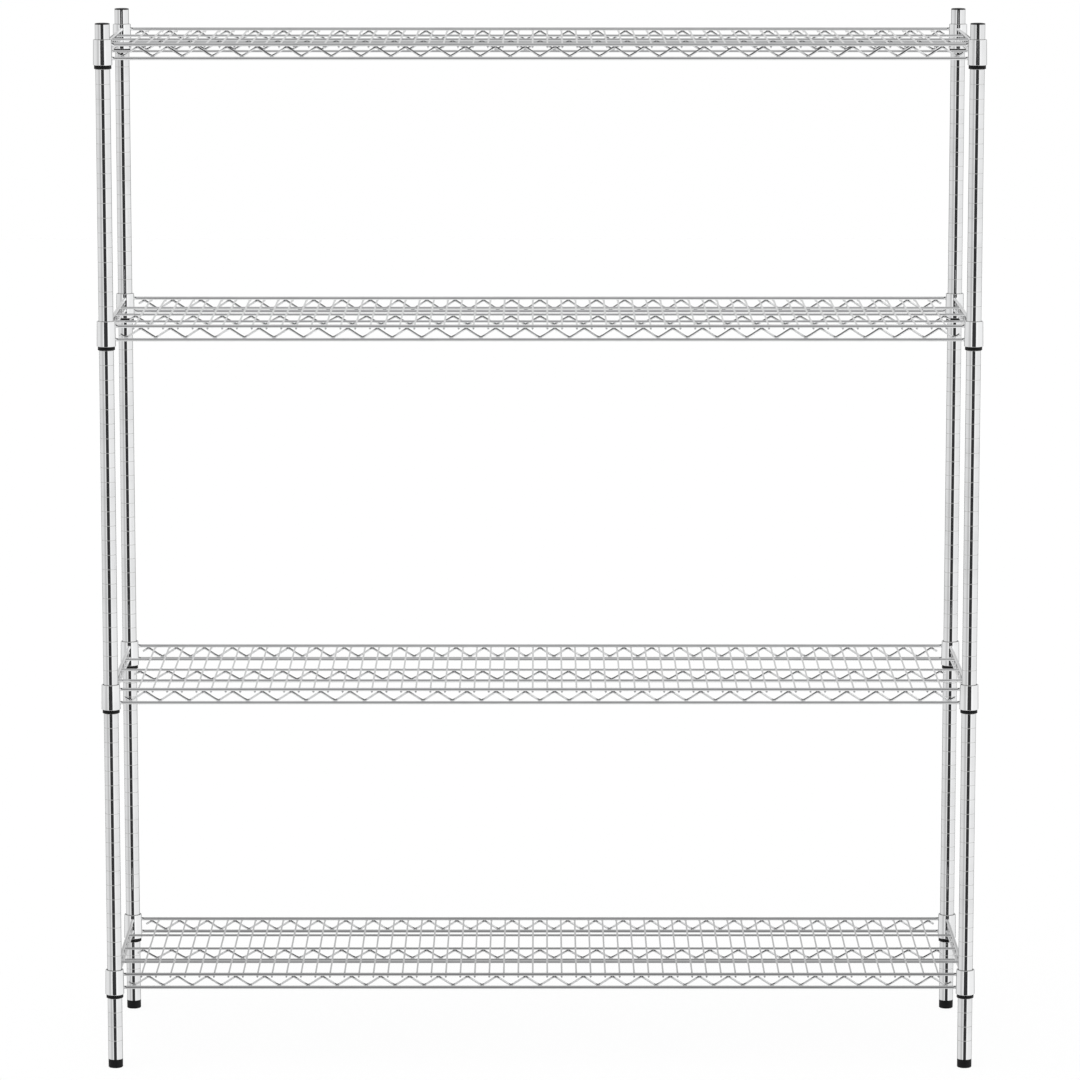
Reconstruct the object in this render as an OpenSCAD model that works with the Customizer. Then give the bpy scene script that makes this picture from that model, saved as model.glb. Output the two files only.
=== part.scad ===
// Free-standing wire storage rack: four grooved posts, four welded wire shelves that wedge
// down on tapered split sleeves, and a levelling foot under each post.
// Millimetres. The origin is on the floor at the middle of the rack, +Z up, the front towards -Y.

/* [Rack] */
// Width over the corner collars
rack_w = 1524; // [900:1:1830]
// Depth over the corner collars
rack_d = 457; // [355:1:610]
// Groove that holds the bottom shelf, counted up from the first groove of the post
bottom_groove = 4; // [3:1:10]
// Grooves from the bottom shelf up to the lower shelf
lower_step = 20; // [6:1:30]
// Grooves from the lower shelf up to the upper shelf
upper_step = 25; // [6:1:30]
// Grooves from the upper shelf up to the top shelf
top_step = 19; // [6:1:30]

/* [Posts] */
// Outside diameter of a post
post_d = 25.4; // [22:0.1:30]
// Wall of the post's tube
post_wall = 1.2; // [1:0.1:2]
// Spacing of the grooves rolled round a post
groove_pitch = 25.4; // [20:0.1:30]
// Depth of a groove
groove_depth = 0.6; // [0.3:0.1:0.8]
// Width of a groove at the surface of the post
groove_w = 2.4; // [1.6:0.1:4]
// Height of the first groove above the lower end of the post
first_groove = 33.8; // [25:0.1:50]
// Length of post above the groove that holds the top shelf
post_stub = 51; // [40:0.1:80]
// Thickness of the cap's flange on top of a post
cap_h = 2; // [1:0.1:5]
// Depth of the cap's plug inside the post
cap_plug = 12; // [6:0.5:25]

/* [Feet] */
// Height of a levelling foot below the post
foot_h = 15; // [10:0.5:25]
// Bevel round the lower edge of a foot
foot_bevel = 1.6; // [0.5:0.1:4]
// Diameter of the threaded stem
stem_d = 9.8; // [6:0.1:12]
// Length of stem moulded into the foot
stem_root = 9; // [4:0.5:9.5]
// Length of stem above the foot
stem_up = 36; // [30:0.5:60]
// Length of the threaded insert in the lower end of the post
insert_h = 28; // [20:0.5:29]

/* [Sleeves and collars] */
// Wall of a sleeve at its thin upper end
sleeve_wall = 1.3; // [1:0.1:3]
// Growth in radius of the sleeve and the collar from the collar's top to its bottom
taper = 0.7; // [0.3:0.1:1.5]
// Length of sleeve that shows below the collar
sleeve_lip = 6.5; // [2:0.5:10]
// Distance from the top of the collar down to the top of the sleeve
sleeve_inset = 2; // [0.5:0.5:6]
// How far the outside of a sleeve is drawn in, halfway up its taper
sleeve_hollow = 0.05; // [0.02:0.01:0.1]
// Number of straight bands that make up the hollow taper
sleeve_bands = 8; // [6:1:12]
// Height of the collar's top above the groove that holds its sleeve
seat_rise = 25; // [18:0.5:32]
// Angle left open at each seam between two sleeve halves
seam_angle = 2; // [1:0.5:10]
// Wall of a collar
collar_wall = 1.6; // [1.2:0.1:3]
// Bevel on the edges of a collar
collar_bevel = 0.4; // [0.2:0.1:0.5]
// Length of collar below the axis of the lower rim wire
collar_skirt = 11.2; // [6:0.1:20]

/* [Wires] */
// Diameter of the rim wires
rim_d = 5.6; // [4:0.1:7]
// Diameter of the stringers and of the centre truss
stringer_d = 4.2; // [3:0.1:6]
// Diameter of the cross wires
cross_d = 3.1; // [2:0.1:4]
// Diameter of the zigzag wires
zigzag_d = 3.8; // [2.5:0.1:4.4]
// Distance from the top of a collar down to the upper rim wire
rim_drop = 9; // [6:0.1:14]
// Distance between the upper and lower rim wires, front and back
rim_gap = 23.3; // [18:0.1:32]
// Distance between the upper and lower wires of the end trusses and the centre truss
inner_gap = 20.5; // [17:0.1:28]
// Spacing of the cross wires, and half the length of a zigzag wave
cross_pitch = 25.4; // [20:0.1:40]
// Least distance from a post's axis to the first cross wire or zigzag bend
cross_edge = 30; // [28:0.5:60]
// Length, along the truss, of a zigzag's free end beyond its last bend
zigzag_tail = 10; // [4:0.5:11]
// Length of a cross wire or stringer past the axis of the rim that it is welded to
wire_over = 2; // [0:0.5:3]
// Angle at which the ends of a cross wire are bent down to pass under the long rims
cross_dip = 11; // [8:0.5:16]
// Depth to which two welded wires sink into each other
weld_bite = 0.1; // [0.05:0.01:0.15]

/* [Fits] */
// Gap between a sleeve and the post, all round
post_gap = 0.1; // [0.05:0.01:0.2]
// Gap between a sleeve and the collar's tapered bore, all round
seat_gap = 0.1; // [0.05:0.01:0.2]
// Gap round a plug pressed into the end of a post
plug_gap = 0.05; // [0.02:0.01:0.1]
// Gap between a stem and the bore that it runs or sits in, all round
stem_gap = 0.1; // [0.05:0.01:0.2]
// Gap between the top of a foot and the end of its post
foot_gap = 0.2; // [0.1:0.05:0.5]

/* [Hidden] */
$fn = 48;

LEVELS = ["bottom", "lower", "upper", "top"];
CORNERS = ["front_left", "front_right", "back_left", "back_right"];
SHELF_PIECES = [
    "sleeves", "collars", "long_rims", "end_rims", "long_zigzags",
    "end_zigzags", "stringers", "centre_wires", "cross_wires"
];

// Radii
post_r = post_d / 2;
bore_r = post_r - post_wall;
plug_r = bore_r - plug_gap;
stem_r = stem_d / 2;
rim_r = rim_d / 2;
stringer_r = stringer_d / 2;
// A many-sided bent wire has the section of a round one when its corners lie this much further out
bent_sides = 8;
bent_share = sqrt(2 * PI / (bent_sides * sin(360 / bent_sides)));
cross_r = cross_d / 2 * bent_share;
zigzag_r = zigzag_d / 2 * bent_share;
mitre_passes = 4;
sleeve_in_r = post_r + post_gap;
collar_bore_r = sleeve_in_r + sleeve_wall + seat_gap;
collar_top_r = collar_bore_r + collar_wall;

// Collar height, and its outside radius at a distance below its top
collar_h = rim_drop + rim_gap + collar_skirt;
function widening(below) = taper * below / collar_h;
function collar_r(below) = collar_top_r + widening(below);

// Post axes
span_x = rack_w - 2 * collar_r(collar_h);
span_y = rack_d - 2 * collar_r(collar_h);
CORNER_XY = [for (y = [-1, 1]) for (x = [-1, 1]) [x * span_x / 2, y * span_y / 2]];

// Groove heights, and the height of each shelf as the top of its collars
function groove_z(index) = foot_h + first_groove + index * groove_pitch;
lower_groove = bottom_groove + lower_step;
upper_groove = lower_groove + upper_step;
top_groove = upper_groove + top_step;
post_top = groove_z(top_groove) + post_stub;
groove_end_margin = 12;
groove_count = floor((post_stub - groove_end_margin) / groove_pitch) + top_groove + 1;
SHELF_Z = [
    for (g = [bottom_groove, lower_groove, upper_groove, top_groove]) groove_z(g) + seat_rise
];

// Wire heights, measured from the top of the collars. The upper rims are level; the stringers pass
// under the end rims, the cross wires lie on the stringers and dip under the long rims.
rim_z = -rim_drop;
stringer_z = rim_z - rim_r - stringer_r + weld_bite;
cross_z = stringer_z + stringer_r + cross_r - weld_bite;
cross_under_z = rim_z - (rim_r + cross_r - weld_bite) / cos(cross_dip);
cross_ramp = (cross_z - cross_under_z) / tan(cross_dip);

// Counts that follow the size of the shelf
wave = 2 * cross_pitch;
cross_half_count = floor((span_x / 2 - cross_edge) / cross_pitch + 0.5);
long_bends = floor((span_x / 2 - cross_edge) / cross_pitch);
end_bends = floor((span_y / 2 - cross_edge) / cross_pitch);
stringer_y = wave * max(1, round(span_y / 4 / wave));

// Colours
CHROME = [0.80, 0.81, 0.82];
BLACK = [0.07, 0.07, 0.07];
ZINC = [0.62, 0.63, 0.64];

// Straight wire of a diameter between two points
module wire(from, to, d) {
    v = to - from;
    flat = norm([v.x, v.y]);
    translate(from)
        rotate([0, atan2(flat, v.z), atan2(v.y, v.x)])
            cylinder(h = norm(v), d = d);
}

// Bent wire: the same ring of points at each place along a path, joined by a skin
module bent_wire(path, ring) {
    sides = len(ring);
    last = len(path) - 1;
    rings = [for (p = path) for (q = ring) p + q];
    skin = [
        for (i = [0 : last - 1])
            for (k = [0 : sides - 1])
                let (a = i * sides + k, b = i * sides + (k + 1) % sides)
                each [[a, b, b + sides], [a, b + sides, a + sides]]
    ];
    near_end = [for (k = [0 : sides - 1]) sides - 1 - k];
    far_end = [for (k = [0 : sides - 1]) last * sides + k];
    polyhedron(points = rings, faces = concat(skin, [near_end, far_end]));
}

// Reach of a zigzag's bend above or below its axis. A bend is mitred, so the steeper the wire,
// the taller its section there; the slope follows from the reach, so it is found in a few passes.
function bend_reach(gap, wire_r, reach, passes) =
    passes == 0
        ? reach
        : let (rise = gap - 2 * (wire_r + reach - weld_bite))
          bend_reach(gap, wire_r, zigzag_r / cos(atan2(rise, cross_pitch)), passes - 1);

// Zigzag wire along X, hung between two straight wires: one round tube with a mitre at each
// welded bend and a free tail beyond the last bend at either end
module zigzag(bends, crest_in_middle, upper_z, gap, wire_r) {
    reach = bend_reach(gap, wire_r, zigzag_r, mitre_passes);
    seat = wire_r + reach - weld_bite;
    crest_z = upper_z - seat;
    valley_z = upper_z - gap + seat;
    tail_z = (valley_z - crest_z) * zigzag_tail / cross_pitch;
    end_crest = (bends % 2 == 0) == crest_in_middle;
    end_x = bends * cross_pitch + zigzag_tail;
    end_z = end_crest ? crest_z + tail_z : valley_z - tail_z;
    path = concat(
        [[-end_x, 0, end_z]],
        [
            for (i = [-bends : bends])
                let (crest = (abs(i) % 2 == 0) == crest_in_middle)
                [i * cross_pitch, 0, crest ? crest_z : valley_z]
        ],
        [[end_x, 0, end_z]]
    );
    ring = [
        for (k = [0 : bent_sides - 1])
            let (turn = 360 * k / bent_sides)
            [0, zigzag_r * cos(turn), reach * sin(turn)]
    ];
    bent_wire(path, ring);
}

// Grooved tube of a post, standing on its levelling foot
module post(corner) {
    half_w = groove_w / 2;
    floor_half_w = groove_w / 4;
    grooves = [
        for (i = [0 : groove_count - 1])
            let (z = groove_z(i))
            each [
                [post_r, z - half_w],
                [post_r - groove_depth, z - floor_half_w],
                [post_r - groove_depth, z + floor_half_w],
                [post_r, z + half_w]
            ]
    ];
    color(CHROME)
        translate(CORNER_XY[corner])
            rotate_extrude()
                polygon(concat(
                    [[bore_r, foot_h], [post_r, foot_h]],
                    grooves,
                    [[post_r, post_top], [bore_r, post_top]]
                ));
}

// Caps with a shallow crown, plugged into the tops of the posts
module post_caps() {
    crown = cap_h / 2;
    color(BLACK)
        for (p = CORNER_XY)
            translate([p.x, p.y, post_top])
                rotate_extrude()
                    polygon([
                        [0, -cap_plug], [plug_r, -cap_plug], [plug_r, 0], [post_r, 0],
                        [post_r, crown], [post_r - crown, cap_h], [0, cap_h]
                    ]);
}

// Threaded inserts in the lower ends of the posts
module foot_inserts() {
    hole_r = stem_r + stem_gap;
    color(ZINC)
        for (p = CORNER_XY)
            translate([p.x, p.y, foot_h])
                rotate_extrude()
                    polygon([[hole_r, 0], [plug_r, 0], [plug_r, insert_h], [hole_r, insert_h]]);
}

// Moulded levelling foot with a blind hole for the stem
module foot(corner) {
    top = foot_h - foot_gap;
    root_z = foot_h - stem_root;
    hole_r = stem_r + stem_gap;
    color(BLACK)
        translate(CORNER_XY[corner])
            rotate_extrude()
                polygon([
                    [0, 0], [post_r - foot_bevel, 0], [post_r, foot_bevel], [post_r, top],
                    [hole_r, top], [hole_r, root_z], [0, root_z]
                ]);
}

// Stem that joins a foot to the insert in its post
module stem(corner) {
    color(ZINC)
        translate([CORNER_XY[corner].x, CORNER_XY[corner].y, foot_h - stem_root])
            cylinder(h = stem_root + stem_up, r = stem_r);
}

// Outside radius of a sleeve at a distance below the top of its collar
function sleeve_r(below) = collar_bore_r - seat_gap + widening(below);

// Split sleeves of one shelf: two half shells round each post, with a slightly hollow taper
// outside and an inner rib that sits in the groove
module sleeves(level) {
    top = -sleeve_inset;
    low = -collar_h - sleeve_lip;
    rib = -seat_rise;
    rib_half_w = groove_w / 2;
    rib_tip_half_w = groove_w / 4;
    rib_tip_r = sleeve_in_r - groove_depth;
    outside = [
        for (i = [0 : sleeve_bands])
            let (up = i / sleeve_bands, z = low + (top - low) * up)
            [sleeve_r(-z) - sleeve_hollow * sin(180 * up), z]
    ];
    profile = concat(
        [[sleeve_in_r, low]],
        outside,
        [
            [sleeve_in_r, top],
            [sleeve_in_r, rib + rib_half_w],
            [rib_tip_r, rib + rib_tip_half_w],
            [rib_tip_r, rib - rib_tip_half_w],
            [sleeve_in_r, rib - rib_half_w]
        ]
    );
    color(BLACK)
        for (p = CORNER_XY)
            for (side = [0, 180])
                translate([p.x, p.y, SHELF_Z[level]])
                    rotate([0, 0, side + seam_angle / 2])
                        rotate_extrude(angle = 180 - seam_angle)
                            polygon(profile);
}

// Tapered corner collars of one shelf
module collars(level) {
    foot_r = collar_r(collar_h);
    color(CHROME)
        for (p = CORNER_XY)
            translate([p.x, p.y, SHELF_Z[level]])
                rotate_extrude()
                    polygon([
                        [collar_bore_r, 0],
                        [collar_top_r - collar_bevel, 0],
                        [collar_r(collar_bevel), -collar_bevel],
                        [collar_r(collar_h - collar_bevel), collar_bevel - collar_h],
                        [foot_r - collar_bevel, -collar_h],
                        [foot_r - collar_wall, -collar_h]
                    ]);
}

// Upper and lower rim wires along the front and the back, welded to the collars
module long_rims(level) {
    color(CHROME)
        for (side = [-1, 1])
            for (z = [rim_z, rim_z - rim_gap]) {
                reach = span_x / 2 - collar_r(-z) + weld_bite;
                y = side * span_y / 2;
                wire([-reach, y, SHELF_Z[level] + z], [reach, y, SHELF_Z[level] + z], rim_d);
            }
}

// Upper and lower rim wires along the left and right ends
module end_rims(level) {
    color(CHROME)
        for (side = [-1, 1])
            for (z = [rim_z, rim_z - inner_gap]) {
                reach = span_y / 2 - collar_r(-z) + weld_bite;
                x = side * span_x / 2;
                wire([x, -reach, SHELF_Z[level] + z], [x, reach, SHELF_Z[level] + z], rim_d);
            }
}

// Zigzag wires of the front, centre and back trusses
module long_zigzags(level) {
    color(CHROME)
        translate([0, 0, SHELF_Z[level]]) {
            translate([0, -span_y / 2, 0]) zigzag(long_bends, false, rim_z, rim_gap, rim_r);
            zigzag(long_bends, true, stringer_z, inner_gap, stringer_r);
            translate([0, span_y / 2, 0]) zigzag(long_bends, true, rim_z, rim_gap, rim_r);
        }
}

// Zigzag wires of the left and right trusses, low where the stringers pass
module end_zigzags(level) {
    color(CHROME)
        for (side = [-1, 1])
            translate([side * span_x / 2, 0, SHELF_Z[level]])
                rotate([0, 0, 90])
                    zigzag(end_bends, false, rim_z, inner_gap, rim_r);
}

// Single wires along the shelf, between the centre truss and the rims
module stringers(level) {
    reach = span_x / 2 + wire_over;
    z = SHELF_Z[level] + stringer_z;
    color(CHROME)
        for (y = [-stringer_y, stringer_y]) wire([-reach, y, z], [reach, y, z], stringer_d);
}

// Upper and lower wires of the centre truss
module centre_wires(level) {
    reach = span_x / 2 + wire_over;
    color(CHROME)
        for (drop = [0, inner_gap]) {
            z = SHELF_Z[level] + stringer_z - drop;
            wire([-reach, 0, z], [reach, 0, z], stringer_d);
        }
}

// Cross wires of the deck, over the stringers and down under the long rims
module cross_wires(level) {
    bend_y = span_y / 2 - cross_ramp;
    end_y = span_y / 2 + wire_over;
    end_z = cross_under_z - wire_over * tan(cross_dip);
    path = [[0, -end_y, end_z], [0, -bend_y, cross_z], [0, bend_y, cross_z], [0, end_y, end_z]];
    ring = [
        for (k = [0 : bent_sides - 1])
            let (turn = 360 * k / bent_sides)
            [cross_r * sin(turn), 0, cross_r * cos(turn)]
    ];
    color(CHROME)
        for (i = [-cross_half_count : cross_half_count - 1])
            translate([(i + 0.5) * cross_pitch, 0, SHELF_Z[level]]) bent_wire(path, ring);
}

for (i = [0 : len(CORNERS) - 1]) {
    post(i);
    foot(i);
    stem(i);
}
post_caps();
foot_inserts();
for (i = [0 : len(LEVELS) - 1]) {
    sleeves(i);
    collars(i);
    long_rims(i);
    end_rims(i);
    long_zigzags(i);
    end_zigzags(i);
    stringers(i);
    centre_wires(i);
    cross_wires(i);
}
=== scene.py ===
"""Chrome wire storage rack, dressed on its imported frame.

Metres, +Z up, front towards -Y, origin on the floor at the middle of the rack.
"""
import math

import bpy
import numpy as np
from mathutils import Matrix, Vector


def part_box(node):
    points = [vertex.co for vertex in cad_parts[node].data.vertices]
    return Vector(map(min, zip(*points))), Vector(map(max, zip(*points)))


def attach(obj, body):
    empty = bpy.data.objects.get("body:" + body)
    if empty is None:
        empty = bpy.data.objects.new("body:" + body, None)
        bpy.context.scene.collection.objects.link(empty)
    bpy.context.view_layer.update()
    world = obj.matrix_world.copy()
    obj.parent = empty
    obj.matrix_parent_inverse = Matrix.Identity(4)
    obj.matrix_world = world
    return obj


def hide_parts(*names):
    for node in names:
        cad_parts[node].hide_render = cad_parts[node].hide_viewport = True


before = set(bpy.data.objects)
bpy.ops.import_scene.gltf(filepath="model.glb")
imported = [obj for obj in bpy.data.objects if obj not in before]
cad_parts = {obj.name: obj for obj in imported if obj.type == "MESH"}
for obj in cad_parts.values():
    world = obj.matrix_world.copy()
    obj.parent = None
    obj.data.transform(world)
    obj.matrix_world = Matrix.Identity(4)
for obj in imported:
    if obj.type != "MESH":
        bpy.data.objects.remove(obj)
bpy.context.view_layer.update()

MM = 0.001
LEVELS = ("bottom", "lower", "upper", "top")

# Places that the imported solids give
post_low, post_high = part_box("post_back_right")
POST_X = (post_low.x + post_high.x) / 2
POST_Y = (post_low.y + post_high.y) / 2
POST_XY = {
    "front_left": (-POST_X, -POST_Y),
    "front_right": (POST_X, -POST_Y),
    "back_left": (-POST_X, POST_Y),
    "back_right": (POST_X, POST_Y),
}
FOOT_TOP = post_low.z
POST_TOP = post_high.z
SHELF_Z = {level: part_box(f"{level}_collars")[1].z for level in LEVELS}

# Posts and their rolled grooves
POST_R = 12.7 * MM
POST_BORE_R = 11.5 * MM
POST_EDGE = 0.35 * MM
POST_SIDES = 56
GROOVE_PITCH = 25.4 * MM
GROOVE_FIRST = 33.8 * MM
GROOVE_COUNT = 70
GROOVE_DEPTH = 0.14 * MM
GROOVE_HALF_W = 0.45 * MM
GROOVE_STEPS = 9
GROOVE_HOLD = 1.25

# Caps, feet, stems and inserts
PLUG_R = 11.45 * MM
CAP_H = 2.0 * MM
CAP_PLUG = 12.0 * MM
CAP_CROWN = 0.9 * MM
CAP_MIDDLE = 0.12
CAP_STEPS = 7
CAP_SIDES = 48
FOOT_BEVEL = 1.6 * MM
FOOT_ROUND = 0.5 * MM
FOOT_GAP = 0.2 * MM
FOOT_MIDDLE_R = 2.0 * MM
FOOT_SIDES = 48
HOLE_ROUND = 0.3 * MM
HOLE_MIDDLE_R = 1.0 * MM
STEM_R = 4.9 * MM
STEM_HOLE_R = 5.0 * MM
STEM_LOW = 6.0 * MM
STEM_HIGH = 51.0 * MM
STEM_SIDES = 24
THREAD_PITCH = 1.5 * MM
THREAD_DEPTH = 0.5 * MM
THREAD_STEPS = 8
THREAD_FADE = 0.5
INSERT_H = 28.0 * MM
INSERT_ROUND = 0.4 * MM
INSERT_SIDES = 32

# Sleeves and collars, with heights measured down from the top of the collar
SLEEVE_IN_R = 12.8 * MM
SLEEVE_TOP_R = 14.1 * MM
SLEEVE_HIGH = -2.0 * MM
SLEEVE_LOW = -50.0 * MM
SLEEVE_ROUNDS = (0.3 * MM, 0.6 * MM, 0.4 * MM, 0.3 * MM)
SLEEVE_STEPS = 25
SEAM_HALF_ANGLE = math.radians(1.0)
COLLAR_TOP_R = 15.8 * MM
COLLAR_WALL = 1.6 * MM
COLLAR_H = 43.5 * MM
COLLAR_TAPER = 0.7 * MM
COLLAR_ROUND = 0.4 * MM
COLLAR_BORE_ROUND = 0.2 * MM
COLLAR_SIDES = 56

# Wires, with heights measured down from the top of the collar
RIM_R = 2.8 * MM
STRINGER_R = 2.1 * MM
CROSS_R = 1.55 * MM
ZIGZAG_R = 1.9 * MM
RIM_SIDES = 20
STRINGER_SIDES = 16
CROSS_SIDES = 12
ZIGZAG_SIDES = 10
RIM_Z = (-9.0 * MM, -32.3 * MM)
END_RIM_Z = (-9.0 * MM, -29.5 * MM)
CENTRE_Z = (-13.8 * MM, -34.3 * MM)
CROSS_Z = -10.2 * MM
CROSS_UNDER_Z = -13.35 * MM
CROSS_DIP = math.radians(11)
CROSS_EASE = 4.0 * MM
CROSS_PITCH = 25.4 * MM
CROSS_HALF_COUNT = 28
CROSS_X = (np.arange(-CROSS_HALF_COUNT, CROSS_HALF_COUNT) + 0.5) * CROSS_PITCH
STRINGER_Y = 101.6 * MM
LONG_BENDS = 28
END_BENDS = 7
ZIGZAG_TAIL = 10.0 * MM
ZIGZAG_SHARPNESS = 0.96
RIM_TUCK = 0.5 * MM
WIRE_OVER = 2.0 * MM
WELD_BITE = 0.15 * MM

# Where the rings of a wire stand: over its rounded end, between two bends, on a tail, about a dip
DOME_STEPS = np.array([0.0, 0.5, 0.87])
DOME_DEPTH = 0.7
BEND_STEPS = np.array([0.0, 0.05, 0.11, 0.2, 0.35, 0.5, 0.65, 0.8, 0.89, 0.95])
TAIL_STEPS = np.array([0.0, 0.2, 0.5, 0.96, 1.0])
TAIL_TIP = 0.75
DIP_STEPS = np.array([-4.0, -2.0, -1.0, -0.4, 0.0, 0.4, 1.0, 2.0])

# The trusses along the shelf: place, heights and radius of their wires, and the bend at the middle
CREST, VALLEY = 1, -1
LONG_TRUSSES = (
    (-POST_Y, RIM_Z, RIM_R, VALLEY),
    (0.0, CENTRE_Z, STRINGER_R, CREST),
    (POST_Y, RIM_Z, RIM_R, CREST),
)

# Welds: half sizes of the beads, and a flare's steps away from the collar and out from the wire
CROSS_BEAD = (2.3 * MM, 2.2 * MM, 1.2 * MM)
BEND_BEAD = (3.6 * MM, 1.7 * MM, 1.0 * MM)
BEAD_RINGS = np.array([-0.92, -0.55, 0.0, 0.55, 0.92])
BEAD_SIDES = 10
FLARE_AWAY = np.array([1.4, 0.8, 0.4, 0.1, -0.6]) * MM
FLARE_EXTRA = np.array([-0.1, 0.1, 0.3, 0.55, 0.7]) * MM
FLARE_SIDES = 16
SHARP_EDGE = math.radians(40)
CORNER_STEPS = 4
CORNER_HOLD = 1.4

# Chrome and zinc: colours, least and most roughness, and how the marks and the drawn lines lie
CLEAN = (0.90, 0.905, 0.91)
DULL = (0.84, 0.845, 0.85)
POLISHED = (0.97, 0.975, 0.98)
WELDED = (0.60, 0.60, 0.61)
SCORCHED = (0.42, 0.42, 0.43)
ZINC = (0.66, 0.67, 0.68)
ZINC_DULL = (0.54, 0.54, 0.53)
# Painted light and shade: each shelf's wire colours are scaled by its height, darkest at the bottom and
# lightest at the top
SHELF_LIGHT_AND_SHADE = {"bottom": 0.74, "lower": 0.96, "upper": 1.0, "top": 1.04}
POST_ROUGHNESS = (0.03, 0.08)
COLLAR_ROUGHNESS = (0.04, 0.10)
WIRE_ROUGHNESS = (0.05, 0.12)
ZIGZAG_ROUGHNESS = (0.06, 0.14)
WELD_ROUGHNESS = (0.14, 0.30)
ZINC_ROUGHNESS = (0.25, 0.42)
POST_LINES = 0.03 * MM
COLLAR_LINES = 0.04 * MM
WIRE_LINES = 0.01 * MM
WELD_LINES = 0.1 * MM
ZINC_LINES = 0.05 * MM
DRAWN_ALONG_X = (0.02, 1, 1)
DRAWN_ALONG_Y = (1, 0.02, 1)
DRAWN_ALONG_Z = (1, 1, 0.02)
ZIGZAG_DRAW = (0.3, 0.3, 0.3)
COLLAR_DRAW = (1, 1, 0.3)
ZINC_DRAW = (1, 1, 0.2)
UNDRAWN = (1, 1, 1)
PATCH_SCALE = 14.0
PATCH_DETAIL = 4.0
PATCH_ROUGHNESS = 0.6
MARKS_FROM = 0.42
MARKS_FULL = 0.68
LINE_SCALE = 900.0
LINE_DETAIL = 2.0
LINE_STRENGTH = 0.25

# Painted shade along the grooves, with its width in groove spacings
GROOVE_SHADE_COLOUR = (0.72, 0.72, 0.71)
GROOVE_SHADE_CORE = 0.014
GROOVE_SHADE_EDGE = 0.028

# Black moulded plastic
PLASTIC_DEEP = (0.004, 0.004, 0.0044)
PLASTIC_PALE = (0.010, 0.010, 0.0105)
PLASTIC_ROUGHNESS = (0.38, 0.55)
PLASTIC_SPECULAR = 0.16
GRAIN_SCALE = 1800.0
GRAIN_STRENGTH = 0.3
GRAIN_DEPTH = 0.1 * MM
TONE_SCALE = 60.0
TONE_DETAIL = 5.0

# A Mix node's colour sockets
MIX_FIRST, MIX_SECOND, MIX_RESULT = 6, 7, 2

# The studio that metal mirrors. Heights and sides are parts of a direction that is 1 long.
# A bearing is in half turns: 0 towards the camera and 1 to the back.
WALL_TOP = -0.12
WALL_SLOPE = 1.48
WALL_BACK_RISE = 0.20
WALL_BACK_FROM = 0.3
CEILING_SOFT = 0.035
CEILING_RIDGE = (0.50, 0.50, 0.502)
CEILING_GREY = (0.04, 0.04, 0.041)
RIDGE_SIDE = (0.08, 0.18)
END_WALL_BEARING = (0.122, 0.140)
PILLAR_SIDE = (0.095, 0.12)
PILLAR_FOOT = (-0.82, -0.72)
PILLAR_DARK_LOW = (-0.66, -0.50)
PILLAR_DARK_HIGH = (0.10, 0.34)
PILLAR_DARKNESS = 0.70
BEAM_HEIGHT = (-0.28, 0.0)
BEAM_SOFT = 0.015
FLAG_BEARINGS = ((0.14, 0.28), (0.62, 0.72))
FLAG_SOFT = 0.01
FLAG_LOW = (-0.62, -0.58)
FLAG_HIGH = (-0.40, -0.265)
GAP_BEARING = (0.79, 0.88)
GAP_SOFT = 0.015
GAP_DARKNESS = 0.9
UNLIT = (0.035, 0.035, 0.036)
EVEN_LIGHT = (0.6, 0.6, 0.6)
WHITE = (1, 1, 1)
WALL_LEVELS = (
    (0.0, 0.66), (0.05, 0.70), (0.09, 0.78), (0.295, 0.76), (0.315, 0.58),
    (0.385, 0.58), (0.41, 0.92), (0.45, 0.95), (0.55, 1.0), (0.60, 1.0),
    (0.64, 0.90), (0.80, 0.88), (0.91, 0.80), (0.955, 0.68), (1.0, 0.66),
)

# Floor, lamp and camera
FLOOR_HALF = 14.0
FLOOR_PAINT = (0.95, 0.95, 0.95, 1)
FLOOR_ROUGHNESS = 0.9
FLOOR_CLEAR = 0.93
LAMP_LEAN = (0.3, -0.25, 0.0)
LAMP_SPREAD = math.radians(70)
LAMP_STRENGTH = 1.75
CAMERA_SENSOR = 36.0
CAMERA_LENS = 175.79
CAMERA_REACH = 100.0
CAMERA_PLACE = (0.0, -9.2165, 2.3865)
CAMERA_TIP = 0.159564


def grid_quads(rows, columns, wrap_rows=False, wrap_columns=False):
    """Quads between neighbouring points of a grid, numbered row by row."""
    r = np.arange(rows if wrap_rows else rows - 1)[:, None]
    c = np.arange(columns if wrap_columns else columns - 1)[None, :]
    r_next = (r + 1) % rows
    c_next = (c + 1) % columns
    corners = (r * columns + c, r * columns + c_next, r_next * columns + c_next, r_next * columns + c)
    return np.stack(np.broadcast_arrays(*corners), axis=-1).reshape(-1, 4)


def end_discs(rows, columns):
    """Flat faces that close the first and the last ring of a tube."""
    ring = np.arange(columns)
    return np.stack([ring[::-1], (rows - 1) * columns + ring])


def circle(sides):
    """Cosines and sines of equal steps round a full turn."""
    turn = np.arange(sides) * (2 * math.pi / sides)
    return np.cos(turn), np.sin(turn)


def turned(profile, sides, centre=(0.0, 0.0, 0.0), loop=False):
    """Surface of revolution: each radius and height of the profile goes round a vertical axis.

    A point is centre + (r cos t, r sin t, h). A loop profile closes on itself as a ring does;
    any other profile ends in flat discs.
    """
    r, h = np.asarray(profile, float).T
    c, s = circle(sides)
    points = np.stack(np.broadcast_arrays(r[:, None] * c, r[:, None] * s, h[:, None]), axis=-1)
    faces = [grid_quads(len(r), sides, wrap_rows=loop, wrap_columns=True)]
    if not loop:
        faces.append(end_discs(len(r), sides))
    return points.reshape(-1, 3) + np.asarray(centre, float), faces


def laid(surface, axis):
    """Turns an upright surface so that its height runs along X or Y, keeping it right side out."""
    points, faces = surface
    order = {"x": (2, 0, 1), "y": (1, 2, 0)}[axis]
    return points[:, order], faces


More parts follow.
